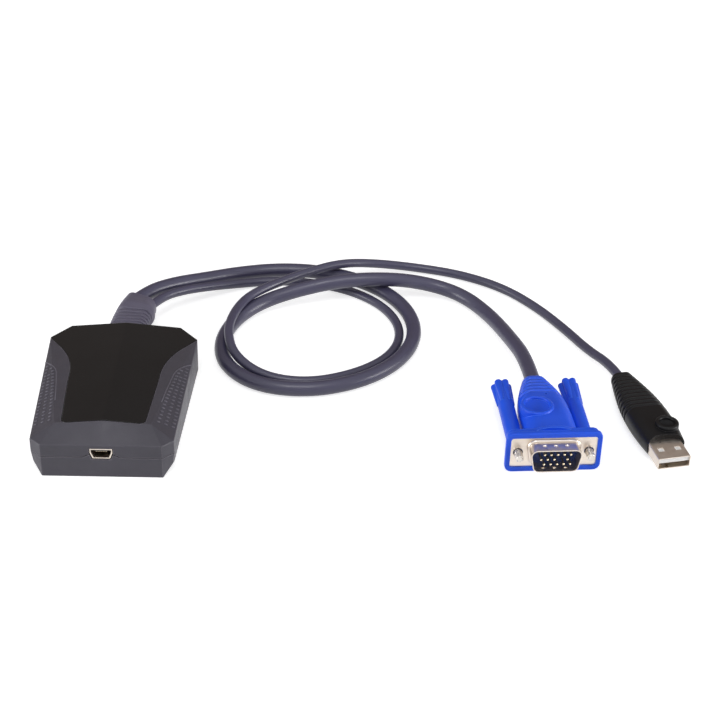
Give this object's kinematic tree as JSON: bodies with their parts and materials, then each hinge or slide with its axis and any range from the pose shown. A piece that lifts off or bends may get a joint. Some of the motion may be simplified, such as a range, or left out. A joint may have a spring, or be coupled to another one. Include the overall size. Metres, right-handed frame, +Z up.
{
  "type": "crash cart adapter",
  "caption": "Small two-shell laptop console adapter with a glossy ridged lid, a console port in front and one strain relief from which a video lead and a computer lead run.",
  "frame": {"origin": "middle of the case's base, on the table, halfway between its front and rear faces", "axes": "+X to the right seen from the console port, +Y from the console port to the strain relief, +Z up"},
  "size_m": [0.2319, 0.1499, 0.0183],
  "materials": {
    "case_plastic": "fine matt texture",
    "panel_gloss": "high gloss",
    "steel_screw": "satin",
    "board_green": "satin",
    "chip_black": "matt",
    "capacitor_tan": "matt",
    "header_white": "satin",
    "nickel": "bright plated",
    "gold_contact": "bright plated",
    "relief_rubber": "matt",
    "cord_sheath": "satin",
    "insulator_navy": "satin",
    "video_blue": "satin",
    "tongue_white": "satin",
    "boot_black": "satin"
  },
  "bodies": {
    "adapter": {"lower_case": "case_plastic", "upper_case": "case_plastic", "top_panel": "panel_gloss", "case_screws": "steel_screw", "circuit_board": "board_green", "board_screws": "steel_screw", "controller_chip": "chip_black", "capture_chip": "chip_black", "memory_chip": "chip_black", "crystal_can": "nickel", "capacitors": "capacitor_tan", "video_header": "header_white", "computer_header": "header_white", "video_wires": "cord_sheath", "computer_wires": "cord_sheath", "port_shell": "nickel", "port_insert": "chip_black", "port_contacts": "gold_contact", "strain_relief": "relief_rubber", "video_cord": "cord_sheath", "computer_cord": "cord_sheath", "video_front_shell": "nickel", "video_rear_shell": "nickel", "video_insulator": "insulator_navy", "video_pins": "gold_contact", "video_hood": "video_blue", "usb_shell": "nickel", "usb_tongue": "tongue_white", "usb_contacts": "gold_contact", "usb_boot": "boot_black"},
    "left_thumbscrew": {"thumbscrew_sleeve_left": "video_blue", "thumbscrew_steel_left": "steel_screw"},
    "right_thumbscrew": {"thumbscrew_sleeve_right": "video_blue", "thumbscrew_steel_right": "steel_screw"}
  },
  "joints": [
    {"name": "left_thumbscrew_turn", "type": "hinge", "parent": "adapter", "child": "left_thumbscrew", "pos_m": [0.14214, -0.01092, 0.00805], "axis": [-0.0698, 0.9976, 0], "continuous": true},
    {"name": "right_thumbscrew_turn", "type": "hinge", "parent": "adapter", "child": "right_thumbscrew", "pos_m": [0.16707, -0.00918, 0.00805], "axis": [-0.0698, 0.9976, 0], "continuous": true}
  ]
}
